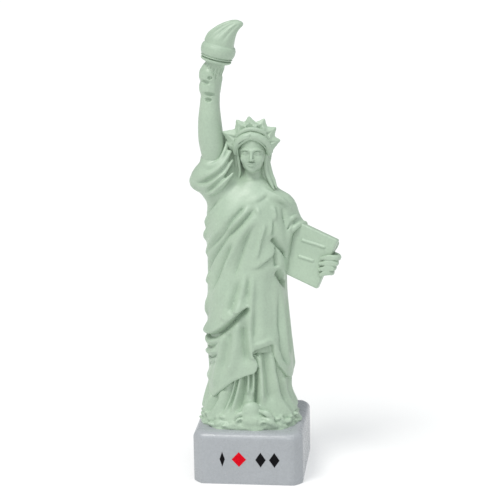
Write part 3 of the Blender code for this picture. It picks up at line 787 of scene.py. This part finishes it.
def build_head(material):
    clay = Clay((-6, -9, 98.5), (9.5, 6.5, 122.5), 0.13)
    clay.add(ball((MIDDLE, -0.4, 115.4), (4.7, 5.3, 5.8)))
    clay.add(ball((MIDDLE, -1.8, 112.9), (4.15, 4.1, 5.3)), 0.8)
    clay.add(ball((MIDDLE, -3, 109.9), (3.1, 2.8, 2.4)), 1)
    clay.add(ball((MIDDLE, -4.9, 108.7), (1.5, 1.1, 1.1)), 0.9)
    clay.lay(
        0.9, (MIDDLE, 0, 111, 3.2), (MIDDLE, -0.1, 106.5, 3.1), (MIDDLE - 0.1, -0.3, 103, 3.6),
        (MIDDLE - 0.2, -0.6, 99.4, 4.8))
    for side in (-1, 1):
        def at(x, *rest, side=side):
            return (MIDDLE + side * x, *rest)
        clay.add(ball(at(2.2, -4.2, 112.1), (1.7, 1.5, 1.6)), 1)
        clay.cut(ball(at(1.85, -6.7, 114.3), (1.35, 1, 0.7)), 0.9)
        clay.add(ball(at(1.9, -5.15, 114.25), (0.85, 0.55, 0.48)), 0.15)
        clay.lay(
            0.8, at(0.6, -5.95, 115.1, 0.3), at(1.6, -5.9, 115.55, 0.38), at(2.8, -5.3, 115.45, 0.36),
            at(3.7, -4.3, 114.9, 0.2))
        clay.lay(
            0.25, at(0.95, -5.55, 114.15, 0.1), at(1.5, -5.8, 114.6, 0.17), at(2.25, -5.65, 114.6, 0.17),
            at(2.95, -5.1, 114.15, 0.1))
        clay.lay(
            0.25, at(1, -5.45, 114.05, 0.08), at(1.6, -5.6, 113.85, 0.11), at(2.3, -5.45, 113.85, 0.11),
            at(2.9, -5.1, 114.05, 0.08))
        clay.add(ball(at(0.6, -6.3, 112), (0.45, 0.55, 0.38)), 0.3)
        clay.lay(0.3, at(0.1, -6.3, 110.8, 0.28), at(0.8, -6.25, 110.8, 0.27), at(1.6, -5.75, 110.6, 0.12))
        clay.lay(0.3, at(0.1, -6.2, 110.1, 0.33), at(0.8, -6.1, 110.15, 0.3), at(1.5, -5.75, 110.45, 0.12))
        clay.carve(0.2, at(0, -6.65, 110.46, 0.09), at(0.8, -6.5, 110.47, 0.09), at(1.6, -5.95, 110.5, 0.1))
        clay.lay(0.9, at(1.5, 0.2, 108.6, 0.8), at(1, -2.2, 105.2, 0.7), at(0.5, -3.4, 102.9, 0.5))
        clay.lay(0.7, at(0.7, -4.2, 101.9, 0.4), at(3, -4.1, 102.3, 0.5), at(5, -2.6, 102.7, 0.4))
    clay.lay(
        0.6, (MIDDLE, -5.6, 115.2, 0.46), (MIDDLE, -6.2, 114, 0.44), (MIDDLE, -6.75, 112.9, 0.48),
        (MIDDLE, -6.95, 112.3, 0.52))
    cast("head_and_neck", clay, material, "face_and_neck")


def build_hair(material):
    clay = Clay((-10.5, -8, 99), (13, 9.5, 124.5), 0.15)
    clay.add(ball((MIDDLE - 0.1, 1.4, 115.8), (5.6, 6, 6.4)))
    clay.add(ball((-5.6, 2.4, 115.2), (2.8, 2.2, 5.2), (0, -14, 0)), 1)
    clay.add(ball((-7.4, 2.4, 116.8), (2.2, 1.8, 3.3)), 1)
    clay.lay(0.8, (5.2, 0.6, 109, 1.6), (5.6, 0.4, 105.6, 1.6), (6.6, 0, 103.2, 1.4))
    clay.lay(
        1.5, (MIDDLE, 3.6, 115, 4.2), (MIDDLE, 5, 111, 3.2), (MIDDLE, 5.2, 106.5, 2.8),
        (MIDDLE, 5, 102.5, 2), press=(1.35, 1, 1))
    # the smooth roll of hair round the brow, parted in the middle
    for beads in (
        ((1.4, -4.7, 120.1, 1.45), (-0.6, -4.6, 119.4, 1.55), (-2.5, -4.1, 118, 1.45),
         (-3.8, -3.1, 116, 1.15), (-4.2, -2, 113.6, 0.8)),
        ((1.4, -4.7, 120.1, 1.45), (3.6, -4.5, 119.6, 1.55), (5.7, -4, 118.2, 1.5), (7, -3, 116.2, 1.3),
         (7.3, -1.8, 113.6, 0.9)),
    ):
        clay.lay(0.2, *beads)
    clay.carve(0.5, (1.4, -6.6, 118.4, 0.5), (1.4, -6.3, 119.4, 0.35), (1.4, -6, 120.4, 0.15))
    for side in (-1, 1):
        for k in range(3):
            clay.carve(
                0.3, (1.6 + side * 0.9, -6.2 + 0.3 * k, 119.2 + 0.75 * k, 0.08),
                (1.6 + side * 2.8, -5.7 + 0.3 * k, 118.4 + 0.75 * k, 0.16),
                (1.5 + side * 4.6, -4.7 + 0.3 * k, 116.9 + 0.7 * k, 0.16),
                (1.5 + side * 5.9, -3 + 0.3 * k, 114.8 + 0.6 * k, 0.08))
        for k in range(5):
            turn = radians(22 + 34 * k)
            down = ((0.5, 121.2), (0.98, 118.4), (1.08, 115), (1, 111), (0.85, 106.5))
            back = [(MIDDLE + side * 5.2 * cos(turn) * s, 1.4 + 5.8 * sin(turn) * s, z) for s, z in down]
            clay.lay(0.4, *string(back, (0.5, 0.8, 0.9, 0.9, 0.6)))
    # long locks on the shoulders
    for beads in (
        ((6.6, -1, 115.4, 0.8), (6.1, -1.4, 112, 0.65), (6, -1.5, 109.4, 0.7), (6.4, -1.6, 106.8, 0.75),
         (7.5, -2, 104, 0.7), (8.8, -2.8, 101.4, 0.4)),
        ((6.9, -0.2, 115.4, 0.9), (6.5, -0.4, 112, 0.8), (6.8, -0.4, 109.4, 0.9), (7.3, -0.5, 106.8, 0.9),
         (8.5, -0.9, 104, 0.8), (9.6, -1.8, 101.6, 0.4)),
        ((6.4, 0.6, 115, 1.4), (6, 0.8, 111.6, 1.1), (6.5, 0.8, 108.6, 1.2), (7.2, 0.7, 105.6, 1.2),
         (8.4, 0.2, 102.8, 0.9)),
        ((-3.2, -2, 115.4, 0.6), (-3.3, -1.9, 112.6, 0.6), (-3, -1.6, 109.8, 0.6), (-2.9, -1.2, 107, 0.55),
         (-3.4, -1.6, 104, 0.5)),
        ((-4, -1.2, 115.4, 0.7), (-4.2, -1, 112.6, 0.75), (-3.9, -0.6, 109.8, 0.75), (-3.7, -0.2, 107, 0.7),
         (-4.2, -0.6, 104, 0.6)),
        ((-4, 0.2, 116, 1.2), (-4.8, 0.4, 113.2, 1.2), (-4.9, 0.6, 110.2, 1.3), (-4.8, 0.6, 107.2, 1.3),
         (-5.2, 0, 104, 1.2)),
    ):
        clay.lay(0.35, *beads)
    cast("hair", clay, material, "hair", "hair_roll")


def spike(base, tip, half_width, half_depth):
    """A four-sided pyramid with a ridge down its front, in a plane that faces the front."""
    base, tip = np.array(base, float), np.array(tip, float)
    length = np.linalg.norm(tip - base)
    along = (tip - base) / length
    deep = np.cross(along, np.cross((0, 1, 0), along))
    deep /= np.linalg.norm(deep)
    wide = np.cross(along, deep)
    slope = 1 / np.sqrt(1 / half_width ** 2 + 1 / half_depth ** 2 + 1 / length ** 2)

    def distance(x, y, z):
        u, v, w = (
            sum(c * (g - b) for c, g, b in zip(axis, (x, y, z), base)) for axis in (wide, along, deep)
        )
        side = (np.abs(u) / half_width + np.abs(w) / half_depth - 1 + v / length) * slope
        return np.maximum(side, -v)

    reach = half_width + half_depth
    return distance, np.minimum(base, tip) - reach, np.maximum(base, tip) + reach


def build_crown(material):
    clay = Clay((-11.5, -8, 111), (14.5, 5, 129), 0.15)
    band = (
        (-4.4, 0.6, 113.4), (-4.5, -1.4, 116.4), (-3.8, -3, 119), (-1.7, -4.1, 121.3), (1.7, -4.4, 122.3),
        (5, -4.1, 121.5), (7.2, -3, 119.6), (8.1, -1.4, 116.8), (7.9, 0.6, 113.6))
    clay.lay(0, *string(band, (0.5, 0.65, 0.75, 0.8, 0.8, 0.8, 0.75, 0.65, 0.5)))
    clay.lay(
        0.3,
        *string([(x, y + 1.6, z + 0.5) for x, y, z in band[1:-1]], (0.7, 0.9, 1.2, 1.2, 1.2, 0.9, 0.7)))
    for tip in (
        (-7.8, 116.6), (-9, 121), (-3.8, 125.3), (0.6, 126.5), (6, 125.7), (10.1, 122.6), (11.5, 118.1),
    ):
        way = Vector((tip[0] - MIDDLE, 0, tip[1] - 116.5)).normalized()
        base = (MIDDLE + 4.6 * way.x, -2.3, 116.5 + 4.6 * way.z)
        clay.add(spike(base, (tip[0], -1.6, tip[1]), 4.8, 2.3), 0.3)
        foot = (MIDDLE + 6.4 * way.x, -3.7, 116.5 + 6.4 * way.z)
        crest = Vector((tip[0], -2.4, tip[1])) - 0.9 * way
        clay.cut(spike(foot, crest, 1.5, 0.9), 0.15)
        clay.cut(ball((tip[0] + 0.45 * way.x, -1.6, tip[1] + 0.45 * way.z), 0.5), 0.5)
    cast("crown", clay, material, "diadem", *(f"crown_ray_{k}" for k in range(1, 8)), rounds=1)


# Left arm, hand and tablet

TABLET_CENTRE = (19.3, -3, 79)
TABLET_TURN = (-8, 21.5, -14)


def tablet_points(*points):
    """Points given along the tablet's width, depth and height from its centre, in the object's frame."""
    turned = Euler([radians(a) for a in TABLET_TURN]).to_matrix()
    return [tuple(turned @ Vector(p) + Vector(TABLET_CENTRE)) for p in points]


def build_left_arm(material):
    clay = Clay((12, -8, 66), (35, 9, 92), 0.19)
    clay.lay(0, (16.6, 1.7, 87, 2.9), (20.5, 2.2, 83, 2.7))
    clay.lay(0.6, *string([(19, 2.4, 84)] + tablet_points((6.6, 4.2, 1.4)), (2.7, 2.3)))
    clay.add(ball(tablet_points((8.2, 3.2, 0))[0], (3.2, 1.8, 3.6), TABLET_TURN), 1)
    for k, (tip_x, tip_z, knuckle_x, knuckle_z) in enumerate((
        (6.6, 1.4, 10.7, 3.5), (6.8, -0.5, 11.3, 1.6), (7.4, -2.4, 11.2, -0.3), (8.4, -4.1, 10.6, -2.2))):
        middle_x, middle_z = (tip_x + knuckle_x) / 2, (tip_z + knuckle_z) / 2 + 0.3
        finger = tablet_points(
            (8, 3.4, knuckle_z - 0.4), (10.4, 2.4, knuckle_z), (11.2, 0.4, knuckle_z),
            (knuckle_x, -1.6, knuckle_z), (middle_x, -2.7, middle_z), (tip_x, -2.2, tip_z))
        thick = 0.98 - 0.03 * k
        clay.lay(0.25, *string(finger, (thick, thick, thick, thick, 0.95 * thick, 0.75 * thick)))
    clay.lay(0.4, *string(tablet_points((7, 3.4, 3), (8, 3, 5.6), (8.4, 2.4, 7.4)), (1.2, 1, 0.8)))
    cast("left_arm", clay, material, "left_forearm", "left_hand")


def build_tablet(material):
    clay = Clay((8, -11, 64), (33, 7, 94), 0.24)
    clay.add(brick(TABLET_CENTRE, (9, 1.6, 9.25), TABLET_TURN, 0.5))
    for x, z, half in ((1.7, 4.6, 3.9), (1.4, -1.2, 2.4)):
        row = tablet_points((x - half, -1.55, z - 0.14 * half), (x + half, -1.55, z + 0.14 * half))
        clay.lay(0.25, *tapered(row, 0.5, 0.5, 0.5))
    clay.field = np.maximum(clay.field, (12 - clay.axes[0])[:, None, None])
    cast("tablet", clay, material, "tablet")


# Plinth and its print

PLINTH_HALF, PLINTH_HEIGHT = 19, 18.5
PLINTH_CORNER, PLINTH_EDGE = 3, 1.9
FLATNESS = 0.75  # 0 for round corners, 1 for plain bevels


def bend(share, flatness):
    """A point on the way from (1, 0) to (0, 1), between a round arc and a plain chord."""
    a = share * pi / 2
    return flatness * (1 - share) + (1 - flatness) * cos(a), flatness * share + (1 - flatness) * sin(a)


def build_plinth(material):
    """Rings of a round-cornered square, from the underside's middle up the sides to the top's middle."""
    corner_steps, edge_steps, side_steps = 12, 10, 12
    foot_edge, flat = 0.5, (4, 9, 14)

    def ring(inset, z):
        half, corner = PLINTH_HALF - inset, max(PLINTH_CORNER - inset, 0.6)
        points = []
        for quarter in range(4):
            turn = Matrix.Rotation(quarter * pi / 2, 2)
            for k in range(corner_steps + 1):
                at = [half - corner + corner * out for out in bend(k / corner_steps, FLATNESS)]
                points.append(turn @ Vector(at))
            for k in range(1, side_steps):
                points.append(turn @ Vector(((half - corner) * (1 - 2 * k / side_steps), half)))
        return [(p.x, p.y, z) for p in points]

    profile = [(inset, 0) for inset in reversed(flat)]
    for k in range(edge_steps // 2 + 1):
        down, out = bend(k / (edge_steps // 2), 0)
        profile.append((foot_edge * (1 - out), foot_edge * (1 - down)))
    profile += [(0, z) for z in np.linspace(1.5, PLINTH_HEIGHT - PLINTH_EDGE - 0.8, 9)]
    for k in range(edge_steps + 1):
        out, up = bend(k / edge_steps, FLATNESS / 2)
        profile.append((PLINTH_EDGE * (1 - out), PLINTH_HEIGHT - PLINTH_EDGE * (1 - up)))
    profile += [(inset, PLINTH_HEIGHT) for inset in flat]
    rings = [ring(inset, z) for inset, z in profile]
    count = len(rings[0])
    points = [p for r in rings for p in r]
    faces = []
    for level in range(len(rings) - 1):
        for k in range(count):
            a, b = level * count + k, level * count + (k + 1) % count
            faces.append((a, b, b + count, a + count))
    faces.append(tuple(reversed(range(count))))
    faces.append(tuple(range(len(points) - count, len(points))))
    place("plinth_block", faceted("plinth_block", points, faces), material, ("plinth",), "grey_paint")


def build_print(black, red):
    """Plain lozenges of ink on the plinth's front, for the print."""
    front, thickness, sunk, middle_z, half_height = -PLINTH_HALF, 0.06, 0.2, PLINTH_HEIGHT / 2, 2.7
    for number, (x, half_width, material, slot) in enumerate((
        (-8.7, 0.9, black, "black_ink"), (-2.9, 2.5, red, "red_ink"),
        (4.6, 1.8, black, "black_ink"), (9.4, 1.8, black, "black_ink"),
    ), 1):
        outline = ((-1, 0), (0, -1), (1, 0), (0, 1))
        points = [(x + half_width * u, y, middle_z + half_height * w)
                  for y in (front - thickness, front + sunk) for u, w in outline]
        faces = [(0, 1, 2, 3), (7, 6, 5, 4)] + [(k, k + 4, (k + 1) % 4 + 4, (k + 1) % 4) for k in range(4)]
        mesh = faceted(f"ink_lozenge_{number}", points, faces)
        place(f"ink_lozenge_{number}", mesh, material, (f"print_lozenge_{number}",), slot)
        mesh.shade_flat()


# Materials

class Shader:
    """A Principled material with helpers for procedural inputs, in object coordinates (metres)."""

    def __init__(self, name):
        self.material = bpy.data.materials.new(name)
        self.material.use_nodes = True
        self.tree = self.material.node_tree
        self.where = self.node("TexCoord").outputs["Object"]

    def put(self, value, socket):
        """Links an output to the socket, or sets the socket to a number or a colour."""
        if hasattr(value, "is_linked"):
            self.tree.links.new(value, socket)
        else:
            socket.default_value = (*value, 1) if isinstance(value, tuple) else value

    def feed(self, node, **inputs):
        for name, value in inputs.items():
            self.put(value, node.inputs[name.replace("_", " ")])
        return node

    def node(self, kind, **inputs):
        return self.feed(self.tree.nodes.new("ShaderNode" + kind), **inputs)

    def set(self, **inputs):
        self.feed(self.tree.nodes["Principled BSDF"], **inputs)

    def noise(self, scale, detail=4):
        return self.node(
            "TexNoise", Scale=scale, Detail=detail, Roughness=0.55, Vector=self.where).outputs["Fac"]

    def ramp(self, value, *stops):
        """A value turned into a colour by two stops (position, colour or grey)."""
        node = self.node("ValToRGB", Fac=value)
        for element, (position, colour) in zip(node.color_ramp.elements, stops):
            element.position = position
            element.color = (*np.broadcast_to(colour, 3), 1)
        return node.outputs["Color"]

    def spread(self, value, low, high):
        """A value's middle range (0.3 to 0.7) mapped to low to high."""
        return self.node(
            "MapRange", Value=value, From_Min=0.3, From_Max=0.7, To_Min=low, To_Max=high).outputs["Result"]

    def mix(self, share, a, b, kind="MIX"):
        node = self.node("Mix")
        node.data_type = "RGBA"
        node.blend_type = kind
        for key, value in ((0, share), (6, a), (7, b)):
            self.put(value, node.inputs[key])
        return node.outputs[2]

    def bump(self, *heights):
        """Bumps from (height, distance in metres) pairs, one on top of the other."""
        normal = None
        for height, distance in heights:
            node = self.node("Bump", Distance=distance, Strength=1, Height=height)
            if normal:
                self.put(normal, node.inputs["Normal"])
            normal = node.outputs["Normal"]
        self.set(Normal=normal)


def soft_paint(name, light, mid, deep, edge, roughness):
    """Satin paint on soft foam: mottled, with painted shade darkening the creases, and paler on the ridges,
    partly rubbed wear and partly a painted highlight.
    """
    shader = Shader(name)
    mottled = shader.ramp(shader.noise(90), (0.35, mid), (0.65, light))
    specks = shader.ramp(shader.noise(1400, 2), (0.35, 0.94), (0.6, 1))
    colour = shader.mix(1, mottled, specks, "MULTIPLY")
    # painted shade: where pointiness marks a crease, the colour is drawn towards deep, a painted shade for
    # the shade that falls in creases
    pointed = shader.node("NewGeometry").outputs["Pointiness"]
    crease_shade = shader.ramp(pointed, (0.40, 1), (0.49, 0))
    colour = shader.mix(crease_shade, colour, deep)
    # paler ridges, partly rubbed wear and partly a painted highlight: where pointiness marks a ridge,
    # broken up by noise, the colour is drawn towards edge
    ridge = shader.ramp(pointed, (0.54, 0), (0.68, 0.4))
    wear_and_highlight = shader.mix(1, ridge, shader.ramp(shader.noise(500), (0.35, 0.2), (0.6, 1)), "MULTIPLY")
    colour = shader.mix(wear_and_highlight, colour, edge)
    gloss = shader.spread(shader.noise(260), roughness - 0.06, roughness + 0.08)
    shader.set(Base_Color=colour, Roughness=gloss, Specular_IOR_Level=0.45)
    shader.bump((shader.noise(300, 2), 0.00006), (shader.noise(1500, 2), 0.000006))
    return shader.material


def ink(name, colour):
    shader = Shader(name)
    thin = shader.ramp(shader.noise(1800, 3), (0.3, [c * 1.2 + 0.005 for c in colour]), (0.5, colour))
    gloss = shader.spread(shader.noise(700), 0.3, 0.5)
    shader.set(Base_Color=thin, Roughness=gloss, Specular_IOR_Level=0.04)
    shader.bump((shader.noise(2600, 2), 0.00001))
    return shader.material


# Studio

def add_floor():
    shader = Shader("pale_floor")
    tone = shader.ramp(shader.noise(2), (0.3, 0.61), (0.7, 0.63))
    gloss = shader.spread(shader.noise(40), 0.85, 0.95)
    shader.set(Base_Color=tone, Roughness=gloss, Emission_Color=(1, 1, 1), Emission_Strength=0.36)
    half, drop = 6, 0.00005
    mesh = bpy.data.meshes.new("floor")
    corners = [(x * half, y * half, -drop) for x, y in ((-1, -1), (1, -1), (1, 1), (-1, 1))]
    mesh.from_pydata(corners, [], [(0, 1, 2, 3)])
    mesh.materials.append(shader.material)
    link("floor", mesh)


def add_sun(name, away, strength, spread, colour):
    """A broad soft lamp, far off in the direction away."""
    data = bpy.data.lights.new(name, "SUN")
    data.energy = strength
    data.angle = radians(spread)
    data.color = colour
    lamp = link(name, data)
    lamp.rotation_euler = Vector(away).to_track_quat("Z", "Y").to_euler()


def add_studio():
    world = bpy.data.worlds.new("studio")
    world.use_nodes = True
    sky = world.node_tree.nodes["Background"]
    sky.inputs["Color"].default_value = (0.96, 0.98, 1, 1)
    sky.inputs["Strength"].default_value = 0.42
    bpy.context.scene.world = world
    bpy.context.scene.view_settings.view_transform = "Standard"
    add_sun("key", (-0.3, -0.42, 0.86), 1.65, 25, (1, 0.99, 0.96))
    add_sun("front", (0.1, -0.77, 0.64), 0.55, 20, (0.96, 0.98, 1))
    add_sun("top", (0.22, -0.12, 0.9), 0.6, 30, (0.92, 0.97, 1))


def add_camera():
    azimuth, elevation, roll = radians(6.6), radians(14.8), radians(-0.98)
    target, distance = Vector((0, 0, 0.07795)), 0.5963
    away = Vector((sin(azimuth) * cos(elevation), -cos(azimuth) * cos(elevation), sin(elevation)))
    data = bpy.data.cameras.new("photo_angle")
    data.lens = 124.27
    data.sensor_width = 36
    data.shift_y = 0.0064
    data.clip_start = 0.01
    camera = link("photo_angle", data)
    camera.location = target + away * distance
    turn = (-away).to_track_quat("-Z", "Y") @ Euler((0, 0, roll)).to_quaternion()
    camera.rotation_euler = turn.to_euler()
    bpy.context.scene.camera = camera


# In each paint the third colour is the painted shade in the creases, and the fourth is the ridges' colour,
# partly rubbed wear and partly a painted highlight.
mint = soft_paint("mint_paint", (0.43, 0.545, 0.42), (0.395, 0.505, 0.39), (0.19, 0.29, 0.20),
                  (0.54, 0.66, 0.55), 0.37)
grey = soft_paint("plinth_paint", (0.385, 0.405, 0.425), (0.37, 0.39, 0.41), (0.22, 0.23, 0.25),
                  (0.50, 0.52, 0.58), 0.26)
build_skirt(mint)
build_mantle(mint)
build_raised_arm(mint)
build_torch(mint)
build_head(mint)
build_hair(mint)
build_crown(mint)
build_left_arm(mint)
build_tablet(mint)
build_plinth(grey)
build_print(ink("black_ink_print", (0.006, 0.006, 0.007)), ink("red_ink_print", (0.62, 0.002, 0.012)))
add_floor()
add_studio()
add_camera()
